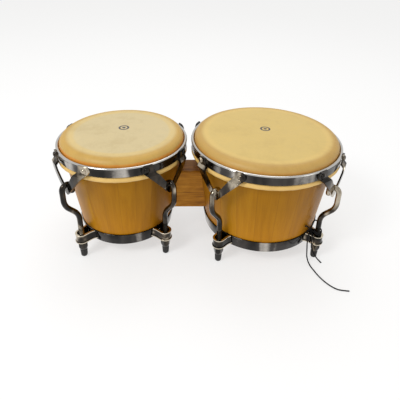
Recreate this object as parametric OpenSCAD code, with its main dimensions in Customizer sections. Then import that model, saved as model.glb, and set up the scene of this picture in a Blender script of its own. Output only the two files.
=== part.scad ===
// A pair of bongo drums: a small and a large drum of staved wood, joined by a wooden block.
// Each head is held by a steel rim, which four hooked rods pull down towards the drum's foot.
// X runs from the small drum to the large one, Z is up, and the feet stand on Z = 0.

/* [Drums] */
// Distance between the axes of the two drums
drum_spacing = 217.5; // [214:0.5:240]
// Height of the playing surfaces above the ground
head_z = 181; // [176:0.5:190]
// Diameter of the small drum across its bearing edge
small_head_d = 177.8; // [170:0.1:184]
// Diameter of the large drum across its bearing edge
large_head_d = 215.9; // [208:0.1:222]
// Outside diameter of the small shell at its lower end
small_base_d = 137.6; // [132:0.1:142]
// Outside diameter of the large shell at its lower end
large_base_d = 177.8; // [172:0.1:182]
// Height of the shells' lower ends above the ground
base_z = 26.5; // [25:0.5:30]
// Thickness of the shell walls
shell_wall = 9.5; // [8.5:0.1:12]

/* [Heads] */
// Thickness of the skins
skin_t = 1.8; // [1:0.1:2.2]
// Outer radius of the skins where they turn over the bearing edge
skin_round = 10; // [8:0.5:12]
// Thickness of the skin where it wraps its hoop
wrap_t = 1.2; // [0.8:0.1:1.6]
// Outside diameter of the skin wrapped round its hoop
hoop_d = 9; // [8:0.1:9.4]

/* [Rims] */
// How far the rim stands outside the bearing edge
rim_reach = 7.25; // [7:0.05:9]
// Thickness of the rim's sheet
rim_t = 2.5; // [2:0.1:3]
// Height of the rim, from its lower edge to the top of its bead
rim_h = 13.8; // [12:0.1:15]
// Height of the rim's lower edge
rim_z = 158.2; // [158:0.1:160]
// Diameter of the rolled bead along the rim's upper edge
bead_d = 4.9; // [4:0.1:5.1]

/* [Hook plates] */
// Turn of the pattern of lugs round each drum, from the diagonals
lug_turn = 2.1; // [0:0.1:6]
// Thickness of the hook plates
plate_t = 2.5; // [2:0.1:2.6]
// Half the distance between the two rivets of a plate
rivet_half = 34; // [30:0.5:36]
// Height of the rivets
rivet_z = 165.2; // [164.5:0.1:166]
// Radius of a plate's ears
ear_r = 7; // [6:0.1:7.2]
// Diameter of the rivets' shanks
rivet_d = 4; // [3:0.1:5]
// Diameter of the rivets' domed heads
rivet_head_d = 8.2; // [7:0.1:9]

/* [Lug rods] */
// Diameter of the lug rods, 5/16 inch
rod_d = 7.9; // [7:0.1:8]
// Distance between the two legs of a rod's hook
hook_gap = 14.8; // [14.4:0.1:15.2]
// How far a rod's hook leg stands out from its threaded leg
rod_step = 20; // [18:0.5:22]
// Radius of the two bends between the legs
rod_bend_r = 27; // [24:1:30]
// Angle of the two bends between the legs
rod_bend = 40; // [36:1:44]

/* [Feet] */
// Width of the tuning nuts across their flats
nut_af = 12.7; // [12:0.1:13.5]
// Length of the rubber tips
tip_h = 14.5; // [13:0.5:16]
// Diameter of the rubber tips
tip_d = 10.6; // [10:0.1:11.4]

/* [Centre block] */
// Thickness of the block from front to back
block_t = 40; // [34:1:50]
// Height of the block's lower face
block_z = 56; // [50:1:60]
// Height of the block
block_h = 66; // [60:1:72]
// Radius of the block's long edges
block_round = 3; // [1:0.5:5]
// Diameter of the bolts that hold the block
bolt_d = 8; // [6:0.5:8]

/* [Cord] */
// Diameter of the cord tied to a lug of the large drum
cord_d = 2; // [1.6:0.1:2.4]

/* [Hidden] */
SIDES = ["small", "large"];
LUGS = [1, 2, 3, 4];
$fn = 96;

fit = 0.05;             // gap between pieces that bear on each other
eps = 0.5;              // overrun of a cut past a face

// The two drums
head_r = [small_head_d / 2, large_head_d / 2];
base_r = [small_base_d / 2, large_base_d / 2];
rim_r = [for (r = head_r) r + rim_reach];
drum_x = [-(drum_spacing + rim_r[1] - rim_r[0]) / 2, (drum_spacing - rim_r[1] + rim_r[0]) / 2];
edge_z = head_z - skin_round;                    // where the bearing edge's rounding starts
edge_round = skin_round - skin_t - 2 * fit;      // rounding of the bearing edge under the skin
edge_top = edge_z + edge_round;

// The skin's hoop sits just below the rim, flush with its outside
hoop_r = [for (r = rim_r) r - hoop_d / 2];
hoop_z = rim_z - hoop_d / 2 - 0.2;
wrap_in = hoop_d / 2 - wrap_t;

// Bottom rings and their brackets
ring_t = 2;
ring_z = base_z - 0.5;
ring_h = 18.5;
hook_out = 11.4;                                     // hook leg outside the rim
rod_r = [for (r = rim_r) r + hook_out - rod_step];   // circle of the threaded legs
bracket_z = 29.5;
bracket_h = 14.5;
bracket_in = 6.6;
bracket_t = 2.2;
bracket_flare = 3;
lip = 1.2;
lip_h = 1.7;
floor_t = 2.5;
rod_hole_r = rod_d / 2 + 0.4;
washer_t = 1.4;
washer_r = 7.6;

// Hook plates: ears on the rim, a step out over the hoop, then arms that meet under the hook
notch_r = rod_d / 2 + 0.2;
notch_z = 129.7;
notch_top_w = 52;
notch_flat_z = 165;
apex_r = 4;
apex_z = 121.8;
plate_low_z = 115;
plate_top_z = 180;
step_z = [160.6, 157.4];
step_out = 4.7;
fold_z = 150.5;
tuck_in = 1.4;

// Tuning nuts, each with a closed lower end and a spigot that holds its rubber tip
nut_top = bracket_z - washer_t - 0.3;
nut_low = tip_h;
nut_taper = 5.5;
nut_foot_r = tip_d / 2 + 0.2;
nut_bore_r = rod_d / 2 + 0.08;
bore_bottom = nut_low + 3;
spigot_r = 3.2;
spigot_z = 5.5;
tip_edge_r = 3;

// Lug rods
hook_r = hook_gap / 2;
hook_z = notch_z - 3.1;
tip_z = hook_z - 5.6;
rod_bottom = bore_bottom + 1;
joint_swell = 0.04;
bend_z = 68;
slant = (rod_step - 2 * rod_bend_r * (1 - cos(rod_bend))) / sin(rod_bend);
bend_top = bend_z + 2 * rod_bend_r * sin(rod_bend) + slant * cos(rod_bend);

// Block fastening: two bolts a drum, from inside the shell into inserts in the block
bolt_z = [75, 105];
bolt_reach = 24;
bolt_head_r = 7.5;
bolt_head_h = 5.3;
bolt_washer_r = 9.5;
bolt_washer_t = 1.6;
spot_r = 11;
spot_depth = 1.7;
insert_r = 6;
insert_l = 15;

// Cord: route points chosen by hand, in millimetres
long_tail_route = [[165.7, -71.8, 46.5], [163.4, -74.6, 45.6], [162.1, -77, 42.5], [161.5, -79, 38],
    [161.5, -80, 31], [162, -81, 24], [162.5, -82, 17], [163, -83.5, 10], [164, -87, 5],
    [165.5, -91.5, 2], [167, -97, 1.1], [169, -103, 1.1], [172, -112, 1.1], [176, -121, 1.1],
    [181, -129, 1.1], [187, -136, 1.1], [194, -141, 1.1], [202, -143, 1.1], [209, -144, 1.1]];
short_tail_route = [[167.8, -72.5, 46.8], [168.2, -76, 46], [167.6, -79.3, 45.4], [167.5, -80.9, 42.5],
    [167.6, -81.4, 36], [168.4, -81.6, 28], [170.1, -81.7, 22], [172.4, -82, 16], [175.6, -82.8, 10.5],
    [179, -84.1, 6], [182.3, -85.5, 2.8], [184, -86.7, 1.5], [185.2, -88.6, 1.1]];
stub_route = [[165.8, -71, 49.7], [164.1, -72.5, 52], [162.4, -74, 56], [160.1, -75.5, 60.2],
    [157.3, -77.2, 63], [154.6, -78.9, 64]];
wrap_route = [[169.5, -71.7, 48.3], [171.3, -73.7, 48.9], [173.3, -76.6, 47.6], [177.3, -78.1, 46.4],
    [181.2, -76.5, 46.2], [182.8, -72.6, 46.5], [181.2, -68.7, 47], [177.3, -67.1, 48.2],
    [173.4, -68.7, 50], [171.8, -72.6, 51.4], [173.4, -76.5, 50.4], [177.3, -78.1, 49.2],
    [181.2, -76.5, 49.2], [182.8, -72.6, 50.8], [181.2, -68.7, 54.2], [178.5, -66.6, 59.5],
    [176, -65.6, 63.5], [173.2, -65.8, 64.5], [170.6, -66.8, 62.8], [168.8, -68.2, 58.5],
    [168, -69, 54], [167.7, -69.4, 50.6]];
knot_at = [167.5, -69.5, 47.5];
knot_r = 3;

function lug_angle(i) = 45 + lug_turn + 90 * (i - 1);
function shell_r(k, z) = base_r[k] + (head_r[k] - base_r[k]) * (z - base_z) / (edge_z - base_z);
function rivet_angle(k) = asin(rivet_half / (rim_r[k] + plate_t / 2));

module on_drum(k) {
    translate([drum_x[k], 0, 0]) children();
}

module on_lug(k, i) {
    on_drum(k) rotate([0, 0, lug_angle(i)]) children();
}

// A closed cone the size of a shell's outside, grown by a gap
module shell_cone(k, gap) {
    translate([0, 0, base_z])
        cylinder(r1 = base_r[k] + gap, r2 = head_r[k] + gap, h = edge_z - base_z);
}

// Shells

module bearing_corner(k) {
    difference() {
        translate([head_r[k] - edge_round, edge_z]) square([edge_round + eps, edge_round + eps]);
        translate([head_r[k] - edge_round, edge_z]) circle(r = edge_round);
    }
}

module shell_profile(k) {
    difference() {
        polygon([[base_r[k] - shell_wall, base_z], [base_r[k], base_z], [head_r[k], edge_z],
            [head_r[k], edge_top], [head_r[k] - shell_wall, edge_top]]);
        bearing_corner(k);
    }
}

// Where the flat seat of a block bolt's washer lies, outwards from the drum's axis
function spot_x(k, z) = shell_r(k, z) - shell_wall + spot_depth;

module shell(k) {
    color("peru") on_drum(k) difference() {
        rotate_extrude() shell_profile(k);
        for (z = bolt_z) translate([0, 0, z]) rotate([0, 0, 180 * k]) {
            rotate([0, 90, 0]) cylinder(d = bolt_d + 0.4, h = head_r[k]);
            rotate([0, 90, 0]) cylinder(r = spot_r, h = spot_x(k, z));
        }
    }
}

// Heads

module cap_profile(r, top, round, low) {
    difference() {
        translate([0, low]) square([r, top - low]);
        difference() {
            translate([r - round, top - round]) square(round + eps);
            translate([r - round, top - round]) circle(r = round);
        }
    }
}

module head_skin(k) {
    skin_in = head_r[k] + 2 * fit;
    collar_low = hoop_z + wrap_in;
    color("wheat") on_drum(k) union() {
        rotate_extrude() difference() {
            cap_profile(skin_in + skin_t, head_z, skin_round, collar_low);
            cap_profile(skin_in, head_z - skin_t, skin_round - skin_t, collar_low - eps);
        }
        rotate_extrude() translate([hoop_r[k], hoop_z]) difference() {
            circle(d = hoop_d);
            circle(r = wrap_in);
        }
    }
}

module flesh_hoop(k) {
    color("gray") on_drum(k) rotate_extrude() translate([hoop_r[k], hoop_z]) circle(r = wrap_in - 2 * fit);
}

// Rims

module rivet_places(k) {
    for (i = LUGS) for (side = [-1, 1])
        rotate([0, 0, lug_angle(i) + side * rivet_angle(k)]) translate([0, 0, rivet_z]) rotate([0, 90, 0])
            children();
}

module rim_band(k) {
    bead_z = rim_z + rim_h - bead_d / 2;
    color("silver") on_drum(k) difference() {
        union() {
            rotate_extrude() translate([rim_r[k] - rim_t, rim_z]) square([rim_t, bead_z - rim_z]);
            rotate_extrude() translate([rim_r[k] - bead_d / 2, bead_z]) circle(d = bead_d);
        }
        rivet_places(k) translate([0, 0, rim_r[k] - rim_t - fit]) cylinder(d = rivet_d + 2 * fit, h = 10);
    }
}

module rim_rivets(k) {
    seat = rim_r[k] + plate_t + 0.1;
    dome = 2.4;
    dome_r = (pow(rivet_head_d / 2, 2) + pow(dome, 2)) / (2 * dome);
    color("silver") on_drum(k) rivet_places(k) union() {
        translate([0, 0, rim_r[k] - rim_t]) cylinder(d = rivet_d, h = seat - rim_r[k] + rim_t + eps);
        translate([0, 0, seat + fit]) intersection() {
            translate([0, 0, dome - dome_r]) sphere(r = dome_r);
            cylinder(d = rivet_head_d, h = dome_r);
        }
    }
}

// Hook plates

// The section of a plate, measured outwards from the rim's face
module plate_profile(k) {
    r = rim_r[k] + 0.1;
    translate([r, 0]) polygon([[0, plate_top_z], [0, step_z[0] - 1.5], [step_out, step_z[1] - 1.5],
        [step_out, fold_z], [tuck_in, plate_low_z], [tuck_in + plate_t, plate_low_z],
        [step_out + plate_t, fold_z], [step_out + plate_t, step_z[1]], [plate_t, step_z[0]],
        [plate_t, plate_top_z]]);
}

// The outline of a plate as seen from outside the drum
module plate_outline() {
    difference() {
        hull() {
            for (side = [-1, 1]) translate([side * rivet_half, rivet_z]) circle(r = ear_r, $fn = 32);
            translate([0, apex_z]) circle(r = apex_r, $fn = 32);
        }
        hull() {
            translate([0, notch_z + notch_r]) circle(r = notch_r, $fn = 32);
            translate([-notch_top_w / 2, notch_flat_z]) square([notch_top_w, plate_top_z - notch_flat_z]);
        }
    }
}

module hook_plate(k, i) {
    color("silver") difference() {
        on_lug(k, i) intersection() {
            rotate([0, 0, -30]) rotate_extrude(angle = 60) plate_profile(k);
            rotate([90, 0, 90]) linear_extrude(height = 2 * rim_r[k]) plate_outline();
        }
        on_drum(k) for (side = [-1, 1]) rotate([0, 0, lug_angle(i) + side * rivet_angle(k)])
            translate([0, 0, rivet_z]) rotate([0, 90, 0])
                translate([0, 0, rim_r[k] - 1]) cylinder(d = rivet_d + 2 * fit, h = plate_t + 3);
    }
}

// Lug rods

// A round bar bent through an angle in the XZ plane, starting upwards at the origin
module bend(radius, angle) {
    translate([radius, 0, 0]) rotate([90, 0, 0]) rotate([0, 0, 180 - angle])
        rotate_extrude(angle = angle) translate([radius, 0]) circle(d = rod_d);
}

// A ball a hair wider than the bar, so that the lengths on its two sides join into one bar
module bar_joint(x, z) {
    translate([x, 0, z]) sphere(d = rod_d + joint_swell);
}

module lug_rod(k, i) {
    drop = rod_bend_r * sin(rod_bend);
    shift = rod_bend_r * (1 - cos(rod_bend));
    color("silver") on_lug(k, i) translate([rod_r[k], 0, 0]) union() {
        translate([0, 0, rod_bottom]) cylinder(d = rod_d, h = bend_z - rod_bottom);
        translate([0, 0, bend_z]) bend(rod_bend_r, rod_bend);
        translate([shift, 0, bend_z + drop]) rotate([0, rod_bend, 0]) cylinder(d = rod_d, h = slant);
        translate([rod_step, 0, bend_top]) rotate([0, 180, 0]) bend(rod_bend_r, rod_bend);
        translate([rod_step, 0, bend_top]) cylinder(d = rod_d, h = hook_z - bend_top);
        translate([rod_step, 0, hook_z]) rotate([0, 0, 180]) bend(hook_r, 180);
        translate([rod_step - hook_gap, 0, tip_z]) cylinder(d = rod_d, h = hook_z - tip_z);
        translate([rod_step - hook_gap, 0, tip_z]) sphere(d = rod_d);
        bar_joint(0, bend_z);
        bar_joint(shift, bend_z + drop);
        bar_joint(rod_step - shift, bend_top - drop);
        bar_joint(rod_step, bend_top);
        bar_joint(rod_step, hook_z);
        bar_joint(rod_step - hook_gap, hook_z);
    }
}

// Bottom rings and brackets

module bottom_ring(k) {
    low = shell_r(k, ring_z);
    high = shell_r(k, ring_z + ring_h);
    color("silver") on_drum(k) rotate_extrude() polygon([[low + fit, ring_z], [low + ring_t, ring_z],
        [high + ring_t, ring_z + ring_h], [high + fit, ring_z + ring_h]]);
}

// A bracket's outline from above, the rod's axis at the origin: a round nose and arms that flare
module bracket_solid(k, r, h) {
    back = rod_r[k] - base_r[k] + 2;
    linear_extrude(height = h) circle(r = r);
    linear_extrude(height = h) polygon([[0, -r], [0, r], [-0.45 * back, r + 0.12 * bracket_flare],
        [-0.65 * back, r + 0.45 * bracket_flare], [-back, r + 1.6 * bracket_flare],
        [-back, -r - 1.6 * bracket_flare], [-0.65 * back, -r - 0.45 * bracket_flare],
        [-0.45 * back, -r - 0.12 * bracket_flare]]);
}

module lug_bracket(k) {
    outer = bracket_in + bracket_t;
    difference() {
        translate([rod_r[k], 0, bracket_z]) difference() {
            union() {
                bracket_solid(k, outer, bracket_h);
                bracket_solid(k, outer + lip, lip_h);
                translate([0, 0, bracket_h - lip_h]) bracket_solid(k, outer + lip / 2, lip_h);
            }
            translate([0, 0, floor_t]) bracket_solid(k, bracket_in, bracket_h);
            translate([0, 0, -eps]) cylinder(r = rod_hole_r, h = bracket_h);
        }
        shell_cone(k, ring_t + fit);
    }
}

module lug_brackets(k) {
    color("silver") for (i = LUGS) on_lug(k, i) lug_bracket(k);
}

module lug_washers(k) {
    color("silver") for (i = LUGS) on_lug(k, i) translate([rod_r[k], 0, bracket_z - washer_t]) difference() {
        cylinder(r = washer_r, h = washer_t);
        translate([0, 0, -eps]) cylinder(r = rod_hole_r, h = washer_t + 2 * eps);
    }
}

// Feet

module tuning_nut(k, i) {
    corner_r = nut_af / 2 / cos(30);
    color("silver") on_lug(k, i) translate([rod_r[k], 0, 0]) difference() {
        union() {
            intersection() {
                translate([0, 0, nut_low]) cylinder(r = corner_r, h = nut_top - nut_low, $fn = 6);
                union() {
                    translate([0, 0, nut_low])
                        cylinder(r1 = nut_foot_r, r2 = corner_r, h = nut_taper);
                    translate([0, 0, nut_low + nut_taper])
                        cylinder(r = corner_r, h = nut_top - nut_low - nut_taper - 1);
                    translate([0, 0, nut_top - 1]) cylinder(r1 = corner_r, r2 = corner_r - 1, h = 1);
                }
            }
            translate([0, 0, spigot_z]) cylinder(r = spigot_r, h = nut_low - spigot_z + eps);
        }
        translate([0, 0, bore_bottom]) cylinder(r = nut_bore_r, h = nut_top);
    }
}

module foot_tip(k, i) {
    r = tip_d / 2;
    color("black") on_lug(k, i) translate([rod_r[k], 0, 0]) difference() {
        rotate_extrude() difference() {
            polygon([[0, 0], [r - 0.5, 0], [r, tip_h - fit], [0, tip_h - fit]]);
            difference() {
                translate([r - 0.5 - tip_edge_r, -eps]) square([tip_edge_r + 2, tip_edge_r + eps]);
                translate([r - 0.5 - tip_edge_r, tip_edge_r]) circle(r = tip_edge_r);
            }
        }
        translate([0, 0, spigot_z - fit]) cylinder(r = spigot_r + fit, h = tip_h);
    }
}

// Centre block

module centre_block() {
    color("sienna") difference() {
        translate([drum_x[0], 0, block_z + block_h / 2]) rotate([90, 0, 90])
            linear_extrude(height = drum_spacing) offset(r = block_round)
                square([block_t - 2 * block_round, block_h - 2 * block_round], center = true);
        for (k = [0, 1]) on_drum(k) {
            shell_cone(k, fit);
            for (z = bolt_z) translate([0, 0, z]) rotate([0, 0, 180 * k]) rotate([0, 90, 0])
                cylinder(r = insert_r + fit, h = shell_r(k, z) + insert_l + 2);
        }
    }
}

module block_bolts(k) {
    color("gray") on_drum(k) for (z = bolt_z) translate([0, 0, z]) rotate([0, 0, 180 * k])
        translate([spot_x(k, z) - bolt_washer_t - fit, 0, 0]) rotate([0, 90, 0]) {
            translate([0, 0, -bolt_head_h]) cylinder(r = bolt_head_r, h = bolt_head_h, $fn = 6);
            cylinder(d = bolt_d, h = bolt_reach);
        }
}

module block_washers(k) {
    color("gray") on_drum(k) for (z = bolt_z) translate([0, 0, z]) rotate([0, 0, 180 * k])
        translate([spot_x(k, z) - bolt_washer_t, 0, 0]) rotate([0, 90, 0]) difference() {
            cylinder(r = bolt_washer_r, h = bolt_washer_t);
            translate([0, 0, -eps]) cylinder(d = bolt_d + 0.4, h = bolt_washer_t + 2 * eps);
        }
}

module block_inserts() {
    color("goldenrod") for (k = [0, 1]) on_drum(k) for (z = bolt_z) translate([0, 0, z])
        rotate([0, 0, 180 * k]) translate([shell_r(k, z) + 1.5, 0, 0]) rotate([0, 90, 0]) difference() {
            cylinder(r = insert_r, h = insert_l);
            translate([0, 0, -eps]) cylinder(d = bolt_d + 0.1, h = insert_l + 2 * eps);
        }
}

// Cord

function unit(v) = v / norm(v);
function curve_at(p, a) = let (n = len(p) - 1, j = min(floor(a), n - 1), t = a - j,
    p0 = p[max(j - 1, 0)], p1 = p[j], p2 = p[j + 1], p3 = p[min(j + 2, n)])
    0.5 * (2 * p1 + (p2 - p0) * t + (2 * p0 - 5 * p1 + 4 * p2 - p3) * t * t
        + (3 * p1 - p0 - 3 * p2 + p3) * t * t * t);
function curve_dir(p, a) = unit(curve_at(p, min(a + 0.01, len(p) - 1)) - curve_at(p, max(a - 0.01, 0)));

// A round tube of flat facets along a route, with its two ends closed
module cord_tube(route, d, sides = 8) {
    rings = len(route) - 1;
    function across(a) = let (u = curve_dir(route, a), w = abs(u[2]) > 0.9 ? [1, 0, 0] : [0, 0, 1])
        unit(cross(u, w));
    points = [for (j = [0 : rings]) let (c = curve_at(route, j), u = curve_dir(route, j), v = across(j),
        w = cross(u, v)) for (s = [0 : sides - 1])
            c + d / 2 * (cos(360 * s / sides) * v + sin(360 * s / sides) * w)];
    walls = [for (j = [0 : rings - 1]) for (s = [0 : sides - 1])
        [j * sides + s, j * sides + (s + 1) % sides, (j + 1) * sides + (s + 1) % sides, (j + 1) * sides + s]];
    ends = [[for (s = [sides - 1 : -1 : 0]) s], [for (s = [0 : sides - 1]) rings * sides + s]];
    polyhedron(points, concat(walls, ends), convexity = 6);
}

module cord_piece(route) {
    color("dimgray") cord_tube(route, cord_d);
}

module cord_knot() {
    color("dimgray") translate(knot_at) sphere(r = knot_r);
}

// The assembly

for (k = [0, 1]) {
    shell(k);
    head_skin(k);
    flesh_hoop(k);
    rim_band(k);
    rim_rivets(k);
    bottom_ring(k);
    lug_brackets(k);
    lug_washers(k);
    block_bolts(k);
    block_washers(k);
    for (i = LUGS) {
        hook_plate(k, i);
        lug_rod(k, i);
        tuning_nut(k, i);
        foot_tip(k, i);
    }
}
centre_block();
block_inserts();
cord_piece(wrap_route);  // cord_wrap
cord_knot();
cord_piece(stub_route);  // cord_stub
cord_piece(long_tail_route);  // cord_long_tail
cord_piece(short_tail_route);  // cord_short_tail
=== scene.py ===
import math
import bmesh
import bpy
from mathutils import Matrix, Vector


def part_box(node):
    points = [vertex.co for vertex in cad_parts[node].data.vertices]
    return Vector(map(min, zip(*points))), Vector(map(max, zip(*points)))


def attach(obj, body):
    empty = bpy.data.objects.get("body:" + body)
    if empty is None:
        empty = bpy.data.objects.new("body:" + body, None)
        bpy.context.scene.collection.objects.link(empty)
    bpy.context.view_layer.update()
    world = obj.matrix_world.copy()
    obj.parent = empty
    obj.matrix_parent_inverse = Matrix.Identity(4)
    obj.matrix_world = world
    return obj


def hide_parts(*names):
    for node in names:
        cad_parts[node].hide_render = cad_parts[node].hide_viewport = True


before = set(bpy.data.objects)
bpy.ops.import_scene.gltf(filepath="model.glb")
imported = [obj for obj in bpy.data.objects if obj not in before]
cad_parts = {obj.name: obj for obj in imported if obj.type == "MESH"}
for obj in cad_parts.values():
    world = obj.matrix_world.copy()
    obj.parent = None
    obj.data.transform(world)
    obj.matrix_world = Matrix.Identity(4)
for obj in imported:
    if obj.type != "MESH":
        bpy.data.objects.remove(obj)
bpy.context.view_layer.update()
mm = 0.001
weld = 0.001 * mm          # corners closer than this are merged
fineWeld = 0.0001 * mm
print("bongos: frame loaded")

camera = {
    "place": (-0.0195, -0.5353, 0.4358),
    "pitchDown": 25.67,     # degrees
    "yaw": 4.01,
    "roll": 2.18,
    "lens": 35.23,          # millimetres on a 36 mm sensor
    "shift": (-0.0339, -0.1662),
}


def makeCamera():
    pitch = math.radians(camera["pitchDown"])
    yaw = math.radians(camera["yaw"])
    roll = math.radians(camera["roll"])
    ahead = Vector((math.sin(yaw) * math.cos(pitch), math.cos(yaw) * math.cos(pitch), -math.sin(pitch)))
    level = Vector((math.cos(yaw), -math.sin(yaw), 0))
    rise = level.cross(ahead)
    across = level * math.cos(roll) + rise * math.sin(roll)
    up = rise * math.cos(roll) - level * math.sin(roll)
    data = bpy.data.cameras.new("camera")
    data.lens = camera["lens"]
    data.sensor_width = 36
    data.shift_x, data.shift_y = camera["shift"]
    eye = bpy.data.objects.new("camera", data)
    bpy.context.scene.collection.objects.link(eye)
    turn = Matrix((across, up, -ahead)).transposed().to_4x4()
    eye.matrix_world = Matrix.Translation(camera["place"]) @ turn
    bpy.context.scene.camera = eye


makeCamera()


class Value:
    # A shader socket that can be calculated with; each step adds its Math node
    def __init__(self, graph, socket):
        self.graph = graph
        self.socket = socket

    def calculate(self, operation, other=0.0, swapped=False):
        pair = (other, self) if swapped else (self, other)
        return self.graph.node("ShaderNodeMath", {"operation": operation}, {0: pair[0], 1: pair[1]})

    def __add__(self, other):
        return self.calculate("ADD", other)

    def __sub__(self, other):
        return self.calculate("SUBTRACT", other)

    def __mul__(self, other):
        return self.calculate("MULTIPLY", other)

    def __truediv__(self, other):
        return self.calculate("DIVIDE", other)

    def __pow__(self, other):
        return self.calculate("POWER", other)

    def __rsub__(self, other):
        return self.calculate("SUBTRACT", other, swapped=True)

    __radd__ = __add__
    __rmul__ = __mul__


class Graph:
    # The nodes of one material
    def __init__(self, name, fixed):
        self.material = bpy.data.materials.new(name)
        self.material.use_nodes = True
        self.tree = self.material.node_tree
        self.shader = self.tree.nodes["Principled BSDF"]
        for socket, value in fixed.items():
            self.shader.inputs[socket].default_value = value
        self.place = self.node("ShaderNodeTexCoord", out="Object")

    def node(self, kind, settings=None, sockets=None, out=0):
        made = self.tree.nodes.new(kind)
        for key, value in (settings or {}).items():
            if key == "stops":
                ramp = made.color_ramp
                while len(ramp.elements) < len(value):
                    ramp.elements.new(0.5)
                for stop, (at, colour) in zip(ramp.elements, value):
                    stop.position = at
                    stop.color = (*colour, 1)
            else:
                setattr(made, key, value)
        for key, value in (sockets or {}).items():
            self.join(value, made.inputs[key])
        return Value(self, made.outputs[out])

    def join(self, value, socket):
        if isinstance(value, Value):
            self.tree.links.new(value.socket, socket)
        else:
            socket.default_value = value

    def drive(self, socket, value):
        self.join(value, self.shader.inputs[socket])

    def split(self, vector):
        made = self.node("ShaderNodeSeparateXYZ", sockets={0: vector})
        outs = made.socket.node.outputs
        return [Value(self, outs[i]) for i in range(3)]

    def vector(self, x, y, z):
        return self.node("ShaderNodeCombineXYZ", sockets={0: x, 1: y, 2: z})

    def moved(self, centre):
        return self.node("ShaderNodeMapping", {"vector_type": "POINT"},
                         {"Vector": self.place, "Location": [-c for c in centre]})

    def scaled(self, vector, scale):
        return self.node("ShaderNodeMapping", {"vector_type": "POINT"}, {"Vector": vector, "Scale": scale})

    def noise(self, vector, scale, detail, rough=0.55, distortion=0.0):
        return self.node("ShaderNodeTexNoise", sockets={
            "Vector": vector, "Scale": scale, "Detail": detail, "Roughness": rough, "Distortion": distortion})

    def ramp(self, value, stops):
        return self.node("ShaderNodeValToRGB", {"stops": stops}, {0: value})

    def step(self, value, low, high):
        return self.node("ShaderNodeMapRange", {"interpolation_type": "SMOOTHSTEP"},
                         {"Value": value, "From Min": low, "From Max": high})

    def mix(self, factor, first, second, blend="MIX"):
        settings = {"data_type": "RGBA", "blend_type": blend}
        made = self.node("ShaderNodeMix", settings, {"Factor": factor}, out=2)
        inputs = made.socket.node.inputs
        for socket, colour in ((inputs[6], first), (inputs[7], second)):    # the two colours
            self.join(colour if isinstance(colour, Value) else (*colour, 1), socket)
        return made

    def bump(self, height, distance, strength):
        self.drive("Normal", self.node("ShaderNodeBump", sockets={
            "Height": height, "Distance": distance, "Strength": strength}))


def radiusNear(node, centreX, low, high, pick=max):
    # The largest or smallest distance of a node's corners from a drum's axis between two heights
    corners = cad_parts[node].data.vertices
    return pick(math.hypot(v.co.x - centreX, v.co.y) for v in corners if low <= v.co.z <= high)


def measureDrum(side):
    rimLow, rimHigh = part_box(side + "_rim_band")
    skinLow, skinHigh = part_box(side + "_head_skin")
    shellLow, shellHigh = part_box(side + "_shell")
    ringLow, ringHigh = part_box(side + "_bottom_ring")
    centreX = (rimLow[0] + rimHigh[0]) / 2
    footZ = shellLow[2]
    edgeZ = shellHigh[2]
    edgeDepth = 30 * mm         # stretch below the bearing edge in which the wall's inside is measured
    lugs = []
    for i in range(1, 5):
        nutLow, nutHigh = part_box(f"{side}_tuning_nut_{i}")
        spot = Vector(((nutLow[0] + nutHigh[0]) / 2, (nutLow[1] + nutHigh[1]) / 2, 0))
        lugs.append({"spot": spot, "out": (spot - Vector((centreX, 0, 0))).normalized()})
    return {
        "side": side,
        "x": centreX,
        "rim": (rimHigh[0] - rimLow[0]) / 2,
        "rimLow": rimLow[2],
        "rimTop": rimHigh[2],
        "headTop": skinHigh[2],
        "wrapLow": skinLow[2],
        "head": (shellHigh[0] - shellLow[0]) / 2,
        "shellLow": footZ,
        "shellTop": edgeZ,
        "foot": radiusNear(side + "_shell", centreX, footZ - mm, footZ + mm),
        "footInside": radiusNear(side + "_shell", centreX, footZ - mm, footZ + mm, min),
        "headInside": radiusNear(side + "_shell", centreX, edgeZ - edgeDepth, edgeZ, min),
        "ringLow": ringLow[2],
        "ringTop": ringHigh[2],
        "lugs": lugs,
    }


drums = [measureDrum("small"), measureDrum("large")]


def sharpen(bm, angle):
    for edge in bm.edges:
        edge.smooth = len(edge.link_faces) == 2 and edge.calc_face_angle(0) < math.radians(angle)
    for face in bm.faces:
        face.smooth = True


def addPiece(name, bm, materials, body, nodes, angle=32):
    sharpen(bm, angle)
    mesh = bpy.data.meshes.new(name)
    bm.to_mesh(mesh)
    bm.free()
    for material in materials:
        mesh.materials.append(material)
    piece = bpy.data.objects.new(name, mesh)
    bpy.context.scene.collection.objects.link(piece)
    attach(piece, body)
    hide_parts(*nodes)
    return piece


def arc(x, z, radius, start, end, steps):
    # Points on an arc of an outline, by angles in degrees
    turns = [math.radians(start + (end - start) * i / steps) for i in range(steps + 1)]
    return [(x + radius * math.cos(t), z + radius * math.sin(t)) for t in turns]


def spun(outline, centreX, steps, centreY=0.0, closed=True):
    # Turns an outline of (radius, height) points about an upright axis
    bm = bmesh.new()
    corners = [bm.verts.new((centreX + r, centreY, z)) for r, z in outline]
    partners = corners[1:] + corners[:1] if closed else corners[1:]
    edges = [bm.edges.new(pair) for pair in zip(corners, partners)]
    bmesh.ops.spin(bm, geom=corners + edges, cent=(centreX, centreY, 0), axis=(0, 0, 1), dvec=(0, 0, 0),
                   angle=2 * math.pi, steps=steps, use_merge=True, use_duplicate=False)
    bmesh.ops.remove_doubles(bm, verts=bm.verts, dist=weld)
    bmesh.ops.recalc_face_normals(bm, faces=bm.faces)
    return bm


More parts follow.
